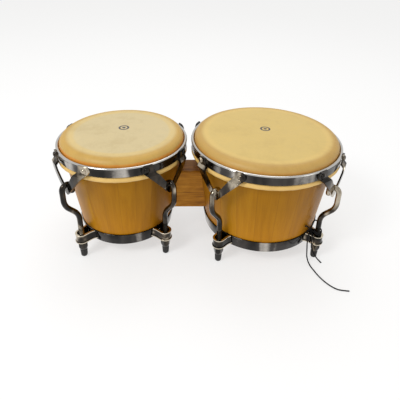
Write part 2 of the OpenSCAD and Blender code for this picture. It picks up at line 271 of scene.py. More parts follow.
def softened(name, node, materials, body, width, segments=3):
    # A copy of a CAD node whose edges are rounded over
    flat, sharp = 0.8, 30       # degrees: faces are joined below the first, edges rounded above the second
    bm = bmesh.new()
    bm.from_mesh(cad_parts[node].data)
    bmesh.ops.remove_doubles(bm, verts=bm.verts, dist=weld)
    bmesh.ops.dissolve_limit(bm, angle_limit=math.radians(flat), verts=bm.verts, edges=bm.edges)
    piece = addPiece(name, bm, materials, body, [node], angle=sharp)
    bevel = piece.modifiers.new("edges", "BEVEL")
    bevel.width = width
    bevel.segments = segments
    bevel.limit_method = "ANGLE"
    bevel.angle_limit = math.radians(sharp)
    bevel.harden_normals = True
    return piece


def tubeMesh(points, radii, outline=None, twists=None, closed=False):
    # A bar or cord along its centreline, as a mesh
    curve = bpy.data.curves.new("line", "CURVE")
    curve.dimensions = "3D"
    curve.twist_mode = "MINIMUM"
    curve.use_fill_caps = True
    spline = curve.splines.new("POLY")
    spline.use_cyclic_u = closed
    spline.points.add(len(points) - 1)
    for i, (spot, point) in enumerate(zip(points, spline.points)):
        point.co = (*spot, 1)
        point.radius = radii[i]
        point.tilt = twists[i] if twists else 0
    if outline:
        curve.bevel_mode = "OBJECT"
        curve.bevel_object = outline
    else:
        sides = 24
        curve.bevel_depth = 1
        curve.bevel_resolution = sides // 4 - 1
    holder = bpy.data.objects.new("line", curve)
    bpy.context.scene.collection.objects.link(holder)
    bpy.context.view_layer.update()
    mesh = bpy.data.meshes.new_from_object(holder.evaluated_get(bpy.context.evaluated_depsgraph_get()))
    bm = bmesh.new()
    bm.from_mesh(mesh)
    bpy.data.objects.remove(holder)
    bpy.data.curves.remove(curve)
    bpy.data.meshes.remove(mesh)
    bmesh.ops.remove_doubles(bm, verts=bm.verts, dist=fineWeld)
    bmesh.ops.recalc_face_normals(bm, faces=bm.faces)
    return bm


def absorb(bm, other):
    # Moves the faces of one bmesh into another
    part = bpy.data.meshes.new("part")
    other.to_mesh(part)
    other.free()
    bm.from_mesh(part)
    bpy.data.meshes.remove(part)


cord = {
    "thick": 2.0,            # millimetres, as all lengths and routes below
    "twist": 7.0,            # length of one turn of the strands
    "strandDepth": 0.08,     # how far the three strands stand out, as a part of the radius
    "colour": (0.004, 0.004, 0.005),
    "worn": (0.014, 0.013, 0.013),
    "fuzzScale": 1600,
    "wearScale": 90,
    "fuzzDepth": 0.15,
    "wrap": [(169.5, -71.7, 48.3), (171.3, -73.7, 48.9), (173.3, -76.6, 47.6), (177.3, -78.1, 46.4),
             (181.2, -76.5, 46.2), (182.8, -72.6, 46.5), (181.2, -68.7, 47), (177.3, -67.1, 48.2),
             (173.4, -68.7, 50), (171.8, -72.6, 51.4), (173.4, -76.5, 50.4), (177.3, -78.1, 49.2),
             (181.2, -76.5, 49.2), (182.8, -72.6, 50.8), (181.2, -68.7, 54.2), (178.5, -66.6, 59.5),
             (176, -65.6, 63.5), (173.2, -65.8, 64.5), (170.6, -66.8, 62.8), (168.8, -68.2, 58.5),
             (168, -69, 54), (167.7, -69.4, 50.6)],
    "stub": [(165.8, -71, 49.7), (164.1, -72.5, 52), (162.4, -74, 56), (160.1, -75.5, 60.2),
             (157.3, -77.2, 63), (154.6, -78.9, 64)],
    "longTail": [(165.7, -71.8, 46.5), (163.4, -74.6, 45.6), (162.1, -77, 42.5), (161.5, -79, 38),
                 (161.5, -80, 31), (162, -81, 24), (162.5, -82, 17), (163, -83.5, 10),
                 (164, -87, 5), (165.5, -91.5, 2), (167, -97, 1.1), (169, -103, 1.1),
                 (172, -112, 1.1), (176, -121, 1.1), (181, -129, 1.1), (187, -136, 1.1),
                 (194, -141, 1.1), (202, -143, 1.1), (209, -144, 1.1)],
    "shortTail": [(167.8, -72.5, 46.8), (168.2, -76, 46), (167.6, -79.3, 45.4), (167.5, -80.9, 42.5),
                  (167.6, -81.4, 36), (168.4, -81.6, 28), (170.1, -81.7, 22), (172.4, -82, 16),
                  (175.6, -82.8, 10.5), (179, -84.1, 6), (182.3, -85.5, 2.8), (184, -86.7, 1.5),
                  (185.2, -88.6, 1.1)],
    "knotSize": 1.15,        # radius of the knot's inner ring
}


def cordMaterial():
    graph = Graph("blackCord", {"Roughness": 0.8, "Specular IOR Level": 0.15})
    fuzz = graph.noise(graph.place, cord["fuzzScale"], 3)
    wear = graph.noise(graph.place, cord["wearScale"], 2)
    shade = graph.ramp(fuzz * 0.6 + wear * 0.4, [(0.3, cord["colour"]), (0.75, cord["worn"])])
    graph.drive("Base Color", shade)
    graph.drive("Roughness", 0.7 + wear * 0.25)
    graph.bump(fuzz, cord["fuzzDepth"] * mm, 0.7)
    return graph.material


def smoothLine(route, perPoint=6):
    # Catmull-Rom points through a route in millimetres, in metres
    spots = [Vector(p) * mm for p in route]
    spots = [spots[0]] + spots + [spots[-1]]
    line = []
    for a, b, c, d in zip(spots, spots[1:], spots[2:], spots[3:]):
        for i in range(perPoint):
            t = i / perPoint
            line.append(0.5 * (2 * b + (c - a) * t + (2 * a - 5 * b + 4 * c - d) * t ** 2
                               + (3 * b - a - 3 * c + d) * t ** 3))
    return line + [spots[-1]]


def lengthOf(line):
    return sum((b - a).length for a, b in zip(line, line[1:]))


def strandOutline():
    # Section of three twisted strands
    curve = bpy.data.curves.new("strands", "CURVE")
    spline = curve.splines.new("POLY")
    spline.use_cyclic_u = True
    count = 18
    spline.points.add(count - 1)
    for i, point in enumerate(spline.points):
        turn = 2 * math.pi * i / count
        reach = cord["thick"] / 2 * mm * (1.0 + cord["strandDepth"] * math.cos(3 * turn))
        point.co = (reach * math.cos(turn), reach * math.sin(turn), 0, 1)
    outline = bpy.data.objects.new("strands", curve)
    bpy.context.scene.collection.objects.link(outline)
    return outline


def cordPiece(name, line, outline, material, node, closed=False):
    along, twists = 0.0, [0.0]
    for a, b in zip(line, line[1:]):
        along += (b - a).length
        twists.append(2 * math.pi * along / (cord["twist"] * mm))
    bm = tubeMesh(line, [1] * len(line), outline, twists, closed)
    return addPiece(name, bm, [material], "root", [node], angle=80)


def makeCord():
    material = cordMaterial()
    outline = strandOutline()
    lines = {key: smoothLine(cord[key]) for key in ("wrap", "stub", "longTail", "shortTail")}
    low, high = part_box("cord_knot")
    centre = (Vector(low) + Vector(high)) / 2
    size = cord["knotSize"] * mm
    knotLine = []
    steps = 72
    for i in range(steps):      # an overhand knot, pulled tight
        t = 2 * math.pi * i / steps
        knotLine.append(centre + size * Vector((math.sin(t) + 1.1 * math.sin(2 * t), -0.75 * math.sin(3 * t),
                                                math.cos(t) - 1.1 * math.cos(2 * t))))
    knot = cordPiece("cordKnot", knotLine, outline, material, "cord_knot", closed=True)
    stub = cordPiece("cordStub", lines["stub"], outline, material, "cord_stub")
    declared = (("cordWrap", "wrap", "cord_wrap", "knot", [knot, stub]),
                ("cordLongTail", "longTail", "cord_long_tail", "bare", []),
                ("cordShortTail", "shortTail", "cord_short_tail", "bare", []))
    for name, key, node, end, others in declared:
        line = lines[key]
        piece = cordPiece(name, line, outline, material, node)
        round(lengthOf(line), 4)
    bpy.data.objects.remove(outline)


makeCord()
print("bongos: cord tied")


head = {
    "round": 10.0,          # radius of the turn over the bearing edge, in millimetres
    "thick": 1.8,
    "wrapRound": 4.5,       # radius of the skin wrapped round its hoop
    "collarOut": 1.9,       # how far the collar stands outside the bearing edge
    # top is the hide's own colour; low is painted shade where the skin slopes down over the bearing edge, and
    # the ridge colour a painted highlight ring just inside it
    "small": {"top": (0.56, 0.46, 0.25), "low": (0.50, 0.31, 0.065), "collar": (0.60, 0.235, 0.016),
              "ridgeHighlight": (0.64, 0.45, 0.13), "mottle": 1.0},
    "large": {"top": (0.59, 0.43, 0.135), "low": (0.47, 0.29, 0.068), "collar": (0.52, 0.27, 0.05),
              "ridgeHighlight": (0.66, 0.46, 0.14), "mottle": 0.7},
    "wrap": (0.70, 0.46, 0.14),
    "markInk": (0.02, 0.025, 0.05),
    "markRadius": 8.0,
    "markBack": 12.0,       # how far the printed mark lies behind the middle
    "cloudScale": 16,
    "blotchScale": 75,
    "fibreScale": (500, 900, 500),
    "poreScale": 1400,
    "grainDepth": 0.35,
    "shoulderShade": (15, 6),    # how far from the bearing edge the painted shade on the sloping shoulder starts and ends
    "ridgeHighlightBand": (22, 16),  # the same for the painted highlight ring inside the shoulder
    "collarBand": (4.5, 7.5),   # depths under the playing surface between which the collar darkens
    "ripple": (0.16, 41),   # height and number of the puckers where the hide wraps its hoop
    "swell": (0.10, 17),
    "rippleSink": 0.27,     # keeps the puckers inside the plain wrap
}


def skinMaterial(drum):
    look = head[drum["side"]]
    graph = Graph(drum["side"] + "Rawhide", {"Roughness": 0.5, "Coat Weight": 0.15, "Coat Roughness": 0.35})
    spot = graph.moved((drum["x"], 0, 0))
    x, y, z = graph.split(spot)
    radius = (x * x + y * y) ** 0.5
    cloud = graph.noise(spot, head["cloudScale"], 4, 0.6, 0.4)
    blotch = graph.noise(spot, head["blotchScale"], 5, 0.6, 0.6)
    fibre = graph.noise(graph.scaled(spot, head["fibreScale"]), 1, 5, 0.7, 1.2)
    pores = graph.noise(spot, head["poreScale"], 2, 0.5)
    # painted shade darkens the skin towards the bearing edge where it slopes away, and a painted highlight
    # ring lies just inside
    edge = graph.step(radius, *[drum["head"] - reach * mm for reach in head["shoulderShade"]])
    base = graph.mix(edge, look["top"], look["low"])
    ridgeHighlight = graph.step(radius, *[drum["head"] - reach * mm for reach in head["ridgeHighlightBand"]]) * (1 - edge)
    base = graph.mix(ridgeHighlight * 0.5, base, look["ridgeHighlight"])
    collar = graph.step(z, *[drum["headTop"] - depth * mm for depth in head["collarBand"]])
    above = graph.step(z, drum["rimLow"] - 1 * mm, drum["rimLow"] + 3 * mm)
    ragged = graph.step(blotch + (z - drum["rimTop"]) * 60, 0.72, 0.30)
    collar = graph.step(collar * above * (0.55 + ragged * 0.45), 0.1, 0.75)
    base = graph.mix(collar, base, look["collar"])
    wrap = graph.step(z, drum["rimLow"] + 0.5 * mm, drum["rimLow"] - 0.8 * mm) * graph.step(
        radius, drum["head"] - 4 * mm, drum["head"] - 2 * mm)
    base = graph.mix(wrap, base, head["wrap"])
    stain = graph.ramp(cloud * 0.55 + blotch * 0.45, [
        (0.28, (0.80, 0.74, 0.62)), (0.5, (1.0, 1.0, 1.0)), (0.72, (1.10, 1.08, 1.06))])
    base = graph.mix(0.75 * look["mottle"], base, stain, "MULTIPLY")
    streak = graph.ramp(fibre, [(0.3, (0.90, 0.87, 0.82)), (0.7, (1.06, 1.05, 1.04))])
    base = graph.mix(0.6, base, streak, "MULTIPLY")
    # A plain printed ring with a dot in it near the middle of the playing surface
    markSpot = graph.moved((drum["x"], head["markBack"] * mm, 0))
    markX, markY, _ = graph.split(markSpot)
    markRadius = (markX * markX + markY * markY) ** 0.5
    reach = head["markRadius"] * mm
    ring = graph.step(markRadius, reach + 0.3 * mm, reach - 0.3 * mm) * graph.step(
        markRadius, reach * 0.62, reach * 0.70)
    dot = graph.step(markRadius, reach * 0.36, reach * 0.30)
    ink = (ring + dot) * graph.step(z, drum["headTop"] - 1 * mm, drum["headTop"] - 0.5 * mm)
    base = graph.mix(ink * (0.75 + 0.25 * graph.step(pores, 0.35, 0.5)), base, head["markInk"])
    graph.drive("Base Color", base)
    graph.drive("Roughness", 0.42 + blotch * 0.25)
    graph.bump(fibre * 0.5 + blotch * 0.8 + pores * 0.12, head["grainDepth"] * mm, 0.55)
    return graph.material


def pucker(bm, drum, wrapX):
    # The hide puckers a little where it wraps the hoop
    (height, count), (swell, swells) = head["ripple"], head["swell"]
    fade = 2 * mm
    for corner in bm.verts:
        x, y, z = corner.co.x - drum["x"], corner.co.y, corner.co.z
        turn = math.atan2(y, x)
        reach = math.hypot(x, y)
        if z < drum["rimLow"] + fade and reach > wrapX:
            ripple = height * math.sin(count * turn + 2 * math.sin(3 * turn))
            ripple += swell * math.sin(swells * turn)
            grow = 1 + (ripple - head["rippleSink"]) * mm / reach * min(1, (reach - wrapX) / fade)
            corner.co.x, corner.co.y = drum["x"] + x * grow, y * grow


def makeHead(drum):
    rounding = head["round"] * mm
    outer = drum["head"] + head["collarOut"] * mm
    thick = head["thick"] * mm
    wrapRadius = head["wrapRound"] * mm
    wrapX = drum["rim"] - wrapRadius
    wrapZ = drum["wrapLow"] + wrapRadius
    bend = (outer - rounding, drum["headTop"] - rounding)
    meet = 180 - math.degrees(math.acos((wrapX - outer) / wrapRadius))      # where the collar meets the wrap
    skinRadii = [drum["head"] * k for k in (0.0, 0.3, 0.6, 0.8)]
    outline = [(r, drum["headTop"]) for r in skinRadii]
    outline += arc(*bend, rounding, 90, 0, 16)
    outline += [(outer, wrapZ + wrapRadius + 4 * mm)]
    outline += arc(wrapX, wrapZ, wrapRadius, meet, -205, 40)
    outline += [(outer - thick, wrapZ + wrapRadius)]
    outline += arc(*bend, rounding - thick, 0, 90, 12)
    outline += [(r, drum["headTop"] - thick) for r in reversed(skinRadii)]
    bm = spun(outline, drum["x"], 288)
    bmesh.ops.dissolve_degenerate(bm, edges=bm.edges, dist=fineWeld)
    pucker(bm, drum, wrapX)
    side = drum["side"]
    addPiece(side + "Head", bm, [skinMaterial(drum)], "root", [side + "_head_skin"], 60)


for drum in drums:
    makeHead(drum)
print("bongos: heads fitted")


shell = {
    "staves": 22,
    "firstJoint": 0.37,     # turn of the staves' joints, in staves
    "edgeRound": 8.1,       # rounding of the bearing edge, in millimetres
    "lowBevel": 0.8,
    "lipDrop": 0.3,         # fall of the bearing edge to its inside
    "lipDepth": 2.0,
    "grainDepth": 0.12,
    "grainScale": 620,
    "figureScale": 70,
    "poreScale": 2600,
    "dark": (0.25, 0.100, 0.005),
    "mid": (0.39, 0.165, 0.007),
    "light": (0.48, 0.225, 0.012),
    "inside": (0.45, 0.25, 0.10),
    "joint": (0.13, 0.045, 0.006),
    "pore": (0.16, 0.06, 0.008),
    "heightShade": [(0.0, (1.14, 1.06, 0.8)), (0.25, (1.0, 0.97, 0.8)), (0.55, (0.80, 0.80, 0.7)),
              (1.0, (0.74, 0.74, 0.65))],    # painted light and shade from the foot up to the bearing edge: lighter at the foot, darker under the rim
}


def shellMaterial(drum):
    graph = Graph(drum["side"] + "Staves", {
        "Roughness": 0.4, "Coat Weight": 0.05, "Coat Roughness": 0.05, "Coat IOR": 1.4,
        "Specular IOR Level": 0.3, "Specular Tint": (1.0, 0.55, 0.08, 1)})
    spot = graph.moved((drum["x"], 0, 0))
    x, y, z = graph.split(spot)
    turn = y.calculate("ARCTAN2", x) * (shell["staves"] / (2 * math.pi))
    stave = (turn + shell["firstJoint"]).calculate("FLOOR")
    inStave = (turn + shell["firstJoint"]).calculate("FRACT")
    tone = graph.node("ShaderNodeTexWhiteNoise", {"noise_dimensions": "1D"}, {"W": stave}, out="Value")
    width = drum["head"] * 2 * math.pi / shell["staves"]
    across = turn * width
    grain = graph.noise(graph.vector(across, stave * 0.131, z * 0.045), shell["grainScale"], 6, 0.65, 0.3)
    figure = graph.noise(graph.vector(across, stave * 0.071, z * 0.16), shell["figureScale"], 3, 0.5, 0.8)
    pores = graph.noise(graph.vector(across, stave * 0.3, z * 0.03), shell["poreScale"], 2, 0.5)
    mixed = grain * 0.26 + figure * 0.30 + tone * 0.22 + 0.11
    base = graph.ramp(mixed, [(0.30, shell["dark"]), (0.5, shell["mid"]), (0.70, shell["light"])])
    line = graph.step((inStave - 0.5).calculate("ABSOLUTE"), 0.485, 0.4995)
    base = graph.mix(line * 0.45, base, shell["joint"])
    pit = graph.step(pores, 0.66, 0.72)
    base = graph.mix(pit * 0.35, base, shell["pore"])
    radius = (x * x + y * y) ** 0.5
    height = (z - drum["shellLow"]) / (drum["shellTop"] - drum["shellLow"])
    skinOfShell = drum["foot"] + (drum["head"] - drum["foot"]) * height
    inside = graph.step(radius - skinOfShell, -4 * mm, -6 * mm)
    # painted light and shade by height: the staves lighter near the foot and darker up under the rim
    base = graph.mix(1.0, base, graph.ramp(height, shell["heightShade"]), "MULTIPLY")
    base = graph.mix(inside * 0.8, base, shell["inside"])
    graph.drive("Base Color", base)
    graph.drive("Coat Weight", 0.05 - inside * 0.04)
    graph.drive("Roughness", 0.34 + grain * 0.18 + inside * 0.25)
    graph.bump(grain * 0.35 - line * 0.8 - pit * 0.3, shell["grainDepth"] * mm, 0.35)
    return graph.material


def makeShell(drum):
    rounding = shell["edgeRound"] * mm
    edge = (drum["head"] - rounding, drum["shellTop"] - rounding)
    bevel = shell["lowBevel"] * mm
    outline = [(drum["footInside"] + bevel, drum["shellLow"]), (drum["foot"] - bevel, drum["shellLow"]),
               (drum["foot"], drum["shellLow"] + bevel)]
    steps = 12
    rise = edge[1] - drum["shellLow"]
    for i in range(1, steps):
        part = i / steps
        outline.append((drum["foot"] + (drum["head"] - drum["foot"]) * part, drum["shellLow"] + rise * part))
    outline += arc(*edge, rounding, 0, 90, 10)
    outline += [(drum["headInside"], drum["shellTop"] - shell["lipDrop"] * mm),
                (drum["headInside"], edge[1] - shell["lipDepth"] * mm),
                (drum["footInside"], drum["shellLow"] + bevel)]
    bm = spun(outline, drum["x"], 264)
    side = drum["side"]
    addPiece(side + "Shell", bm, [shellMaterial(drum)], "root", [side + "_shell"])


for drum in drums:
    makeShell(drum)
print("bongos: shells turned")


metal = {
    "stops": (0.45, 0.56, 0.68),    # where the dark, middle and light patches of painted reflection lie in the clouding
    # painted reflection: each colour list holds dark, middle and light base colours that stand in for the
    # studio reflected in the chrome
    "band": [(0.008, 0.007, 0.006), (0.045, 0.040, 0.036), (0.50, 0.47, 0.43)],
    # painted highlight along the rim's rolled bead
    "bead": (0.66, 0.65, 0.63),
    "fitting": [(0.010, 0.008, 0.006), (0.050, 0.038, 0.027), (0.46, 0.40, 0.31)],
    # painted highlight along the brackets' rolled lips
    "lip": (0.74, 0.66, 0.52),
    # darker painted reflection colours for the tuning nuts
    "darkNutReflection": [(0.010, 0.008, 0.006), (0.036, 0.028, 0.019), (0.16, 0.125, 0.08)],
    "steel": (0.42, 0.42, 0.43),
    "brass": (0.62, 0.42, 0.16),
    "rubber": (0.012, 0.012, 0.012),
    "dust": (0.05, 0.047, 0.043),
    "pitting": (0.10, 0.06, 0.035),
    "smudgeScale": 260,
    "speckScale": 2400,
    "chromeDepth": 0.06,    # millimetres, as the three below
    "turnedDepth": 0.05,
    "rubberDepth": 0.08,
    "lipFade": 0.4,
}


def chromeMaterial(name, colours, scale, stretch, highlightColour=None, spans=()):
    graph = Graph(name, {"Metallic": 1.0, "Roughness": 0.14, "Coat Weight": 0.4, "Coat Roughness": 0.03})
    # painted reflection: clouded patches of dark, middle and light base colour, jittered by the smudge noise,
    # stand in for reflections
    cloud = graph.noise(graph.scaled(graph.place, stretch), scale, 2, 0.5, 0.6)
    smudge = graph.noise(graph.place, metal["smudgeScale"], 5, 0.7, 0.3)
    specks = graph.noise(graph.place, metal["speckScale"], 2, 0.5)
    base = graph.ramp(cloud * 0.92 + smudge * 0.08, list(zip(metal["stops"], colours)))
    if highlightColour:      # painted highlight: the rolled edges are given a bright colour between the given heights
        z = graph.split(graph.place)[2]
        fade = metal["lipFade"] * mm
        for low, high in spans:
            inSpan = graph.step(z, low, low + fade) * graph.step(z, high, high - fade)
            base = graph.mix(inSpan * 0.85, base, highlightColour)
    pitting = graph.step(specks * 0.7 + smudge * 0.3, 0.66, 0.72)
    base = graph.mix(pitting * 0.4, base, metal["pitting"])
    graph.drive("Base Color", base)
    graph.drive("Roughness", 0.07 + smudge * 0.14 + pitting * 0.3)
    graph.bump(smudge * 0.3 + specks * 0.1 - pitting * 0.3, metal["chromeDepth"] * mm, 0.3)
    return graph.material


def turnedMaterial(name, colour, rough):
    graph = Graph(name, {"Metallic": 1.0, "Roughness": rough})
    dull = graph.noise(graph.place, 350, 4, 0.6)
    lines = graph.noise(graph.scaled(graph.place, (60, 60, 4000)), 1, 2)
    graph.drive("Base Color", graph.ramp(dull, [(0.3, tuple(c * 0.72 for c in colour)), (0.7, colour)]))
    graph.drive("Roughness", rough + dull * 0.2)
    graph.bump(lines * 0.4 + dull * 0.3, metal["turnedDepth"] * mm, 0.4)
    return graph.material


def rubberMaterial():
    graph = Graph("blackRubber", {"Roughness": 0.7, "Specular IOR Level": 0.35})
    dust = graph.noise(graph.place, 480, 4, 0.6)
    grain = graph.noise(graph.place, 3200, 2)
    graph.drive("Base Color", graph.ramp(dust, [(0.4, metal["rubber"]), (0.8, metal["dust"])]))
    graph.drive("Roughness", 0.55 + dust * 0.3)
    graph.bump(grain, metal["rubberDepth"] * mm, 0.5)
    return graph.material


# all chrome carries painted reflection patches in its base colour, and the band's chrome also has a painted
# highlight along the rolled bead
bandChrome = chromeMaterial("bandChrome", metal["band"], 26, (1, 1, 0.1), metal["bead"],
                            [(drums[0]["rimTop"] - 1.8 * mm, drums[0]["rimTop"] + mm)])
fittingChrome = chromeMaterial("fittingChrome", metal["fitting"], 42, (1, 1, 0.6))
bracketLow, bracketHigh = (corner[2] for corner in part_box("small_lug_brackets"))
# painted highlights along the brackets' rolled upper and lower lips
lips = [(bracketLow - mm, bracketLow + 1.7 * mm), (bracketHigh - 1.5 * mm, bracketHigh + mm)]
bracketChrome = chromeMaterial("bracketChrome", metal["fitting"], 60, (1, 1, 0.6), metal["lip"], lips)
# the tuning nuts get darker painted reflection patches
darkReflectionChrome = chromeMaterial("darkReflectionChrome", metal["darkNutReflection"], 60, (1, 1, 0.6))
plainSteel = turnedMaterial("plainSteel", metal["steel"], 0.3)
turnedBrass = turnedMaterial("turnedBrass", metal["brass"], 0.28)
blackRubber = rubberMaterial()

rim = {
    "thick": 2.5,           # millimetres
    "bead": 2.45,           # radius of the rolled bead
    "inset": 0.35,          # how far the band's face lies behind the bead
    "backRound": 0.5,       # roundings of the lower edge
    "faceRound": 0.7,
    "dish": 0.12,           # how far the band's face is dished
    "domeHeight": 2.4,
    "domeRadius": 4.1,
    "domeSeat": 2.6,        # how far the rivets' domes start outside the bead
    "domeSink": 0.25,
    "shankLength": 3.0,
    "plateMiddle": 1.25,    # half the thickness of a plate
    "plateEdge": 0.6,
    "rivetHalf": 34.0,      # half the distance between a plate's rivets
    "rivetHeight": 165.2,
}


def makeRim(drum):
    inset = rim["inset"] * mm
    bead = rim["bead"] * mm
    face = drum["rim"] - inset
    back = drum["rim"] - rim["thick"] * mm
    beadX, beadZ = drum["rim"] - bead, drum["rimTop"] - bead
    lowZ = drum["rimLow"]
    backRound, faceRound = rim["backRound"] * mm, rim["faceRound"] * mm
    outline = arc(back + backRound, lowZ + backRound, backRound, 180, 270, 4)
    outline += arc(face - faceRound, lowZ + faceRound, faceRound, 270, 360, 5)
    outline += [(face - rim["dish"] * mm, (lowZ + beadZ) / 2)]
    outline += [(face, beadZ - bead * 0.75)]
    outline += arc(beadX, beadZ, bead, -28, 232, 26)
    outline += [(back, beadZ - bead)]
    bm = spun(outline, drum["x"], 288)
    body = drum["side"] + "_rim"
    addPiece(drum["side"] + "RimBand", bm, [bandChrome], body, [drum["side"] + "_rim_band"], 40)


def makeRivets(drum):
    dome, height = rim["domeRadius"] * mm, rim["domeHeight"] * mm
    sink, shank = rim["domeSink"] * mm, rim["shankLength"] * mm
    outline = [(r * dome, z * height) for r, z in arc(0, 0, 1, 90, 0, 8)]
    outline += [(dome * 0.86, -sink), (dome * 0.5, -sink), (dome * 0.48, -shank), (0, -shank)]
    seat = Matrix.Translation((drum["rim"] + rim["domeSeat"] * mm, 0, 0))
    middle = Matrix.Translation((drum["x"], 0, rim["rivetHeight"] * mm))
    half = math.asin(rim["rivetHalf"] * mm / (drum["rim"] + rim["plateMiddle"] * mm))
    bm = bmesh.new()
    for lug in drum["lugs"]:
        lugTurn = math.atan2(lug["out"].y, lug["out"].x)
        for hand in (-1, 1):
            rivet = spun(outline, 0, 32, closed=False)
            place = (middle @ Matrix.Rotation(lugTurn + hand * half, 4, "Z")
                     @ seat @ Matrix.Rotation(math.pi / 2, 4, "Y"))
            bmesh.ops.transform(rivet, matrix=place, verts=rivet.verts)
            absorb(bm, rivet)
    side = drum["side"]
    addPiece(side + "Rivets", bm, [fittingChrome], side + "_rim", [side + "_rim_rivets"])


def makePlates(drum):
    side = drum["side"]
    for i in range(1, 5):
        softened(f"{side}HookPlate{i}", f"{side}_hook_plate_{i}", [fittingChrome], side + "_rim",
                 rim["plateEdge"] * mm)


for drum in drums:
    makeRim(drum)
    makeRivets(drum)
    makePlates(drum)
print("bongos: rims and hook plates riveted")


rod = {
    "radius": 3.95,         # millimetres
    "step": 20.0,           # how far the hook leg stands out from the threaded leg
    "bendRadius": 27.0,
    "bend": 40.0,           # degrees
    "hookGap": 14.8,
    "threadTop": 58.0,
    "bendStart": 68.0,
    "pitch": 25.4 / 18,     # 5/16 inch thread with 18 turns an inch
    "threadDepth": 0.75,
    "tipRun": 5.6,
    "chamfer": 0.9,         # length of the chamfer where the bar meets its thread
    "threadOverlap": 0.8,   # how far the thread runs up into the bar
}


def bentBar(start, moves, stepLength=1.5):
    # Centreline of a bar in its own plane, as (outwards, up); a move is a run, or a bend with a radius
    x, z = start
    heading = 0.0           # from upright, outwards
    line = [(x, z)]
    for length, radius, angle in moves:
        steps = max(1, math.ceil(length / stepLength))
        for _ in range(steps):
            turn = math.radians(angle) / steps
            heading += turn / 2
            chord = length / steps if not angle else 2 * radius * math.sin(abs(turn) / 2)
            x += chord * math.sin(heading)
            z += chord * math.cos(heading)
            heading += turn / 2
            line.append((x, z))
    return line


def bendMove(radius, angle):
    return (radius * abs(math.radians(angle)), radius, angle)


def rodLine(hookTop):
    bend = math.radians(rod["bend"])
    slant = (rod["step"] - 2 * rod["bendRadius"] * (1 - math.cos(bend))) / math.sin(bend)
    legFoot = rod["bendStart"] + 2 * rod["bendRadius"] * math.sin(bend) + slant * math.cos(bend)
    hookZ = hookTop - rod["hookGap"] / 2 - rod["radius"]
    moves = [(rod["bendStart"] - rod["threadTop"], 0, 0), bendMove(rod["bendRadius"], rod["bend"]),
             (slant, 0, 0), bendMove(rod["bendRadius"], -rod["bend"]), (hookZ - legFoot, 0, 0),
             bendMove(rod["hookGap"] / 2, -180), (rod["tipRun"], 0, 0)]
    return bentBar((0, rod["threadTop"]), moves)


def roundedEnds(line, radius):
    # Adds points that round the far end off and chamfer the near end; returns points and radii
    line = [Vector(p) for p in line]
    radii = [radius] * len(line)
    heading = (line[-1] - line[-2]).normalized()
    end = line[-1]
    steps = 7
    for i in range(1, steps + 1):
        turn = math.pi / 2 * i / (steps + 0.2)      # stops just short of a point
        line.append(end + heading * radius * math.sin(turn))
        radii.append(radius * math.cos(turn))
    back = (line[0] - line[1]).normalized()
    line.insert(0, line[0] + back * rod["chamfer"])
    radii.insert(0, radius * 0.80)
    return line, radii


def threadMesh(low, high):
    # A screw thread swept as one helix from a single groove
    outer, inner = rod["radius"] * mm, (rod["radius"] - rod["threadDepth"]) * mm
    pitch = rod["pitch"] * mm
    bm = bmesh.new()
    groove = [(outer, 0), (outer, 0.12), (inner, 0.5), (inner, 0.6), (outer, 1)]
    corners = [bm.verts.new((r, 0, low + part * pitch)) for r, part in groove]
    edges = [bm.edges.new(pair) for pair in zip(corners, corners[1:])]
    turns = round((high - low) / pitch) - 1
    stepsATurn = 20
    bmesh.ops.spin(bm, geom=corners + edges, cent=(0, 0, 0), axis=(0, 0, 1), dvec=(0, 0, pitch / stepsATurn),
                   angle=2 * math.pi * turns, steps=stepsATurn * turns, use_merge=False, use_duplicate=False)
    bmesh.ops.remove_doubles(bm, verts=bm.verts, dist=weld)
    bmesh.ops.recalc_face_normals(bm, faces=bm.faces)
    bmesh.ops.holes_fill(bm, edges=[e for e in bm.edges if e.is_boundary], sides=0)
    return bm


def makeRods(drum):
    side = drum["side"]
    for i, lug in enumerate(drum["lugs"], 1):
        node = f"{side}_lug_rod_{i}"
        low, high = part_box(node)
        line, radii = roundedEnds(rodLine(high[2] / mm), rod["radius"])
        spots = [lug["spot"] + lug["out"] * p.x * mm + Vector((0, 0, p.y * mm)) for p in line]
        bm = tubeMesh(spots, [r * mm for r in radii])
        thread = threadMesh(low[2], (rod["threadTop"] + rod["threadOverlap"]) * mm)
        bmesh.ops.transform(thread, matrix=Matrix.Translation(lug["spot"]), verts=thread.verts)
        absorb(bm, thread)
        addPiece(f"{side}LugRod{i}", bm, [fittingChrome], side + "_rim", [node], 50)


for drum in drums:
    makeRods(drum)
print("bongos: lug rods bent and threaded")


foot = {
    "ringThick": 2.0,       # millimetres
    "ringRound": 0.7,
    "tipRadius": 5.3,
    "tipRound": 3.2,
    "tipTaper": (0.5, 0.2),     # how much narrower the tip is at its foot and part way up
    "tipEdge": 0.4,
    "ringGap": 0.1,         # clearance to the shell, and depth of the ring's dished middle
    "nutEdge": 0.35,
}


def makeRing(drum):
    side = drum["side"]
    low, top = drum["ringLow"], drum["ringTop"]
    lowR = radiusNear(side + "_bottom_ring", drum["x"], low - mm, low + mm)
    topR = radiusNear(side + "_bottom_ring", drum["x"], top - mm, top + mm)
    gap = foot["ringGap"] * mm
    thick, soft = foot["ringThick"] * mm - gap, foot["ringRound"] * mm
    outline = arc(lowR - soft, low + soft, soft, -90, 0, 4)
    outline += [((lowR + topR) / 2 - gap, (low + top) / 2)]
    outline += arc(topR - soft, top - soft, soft, 0, 90, 4)
    outline += [(topR - thick, top), (lowR - thick, low)]
    bm = spun(outline, drum["x"], 264)
    addPiece(side + "BottomRing", bm, [bandChrome], "root", [side + "_bottom_ring"], 40)


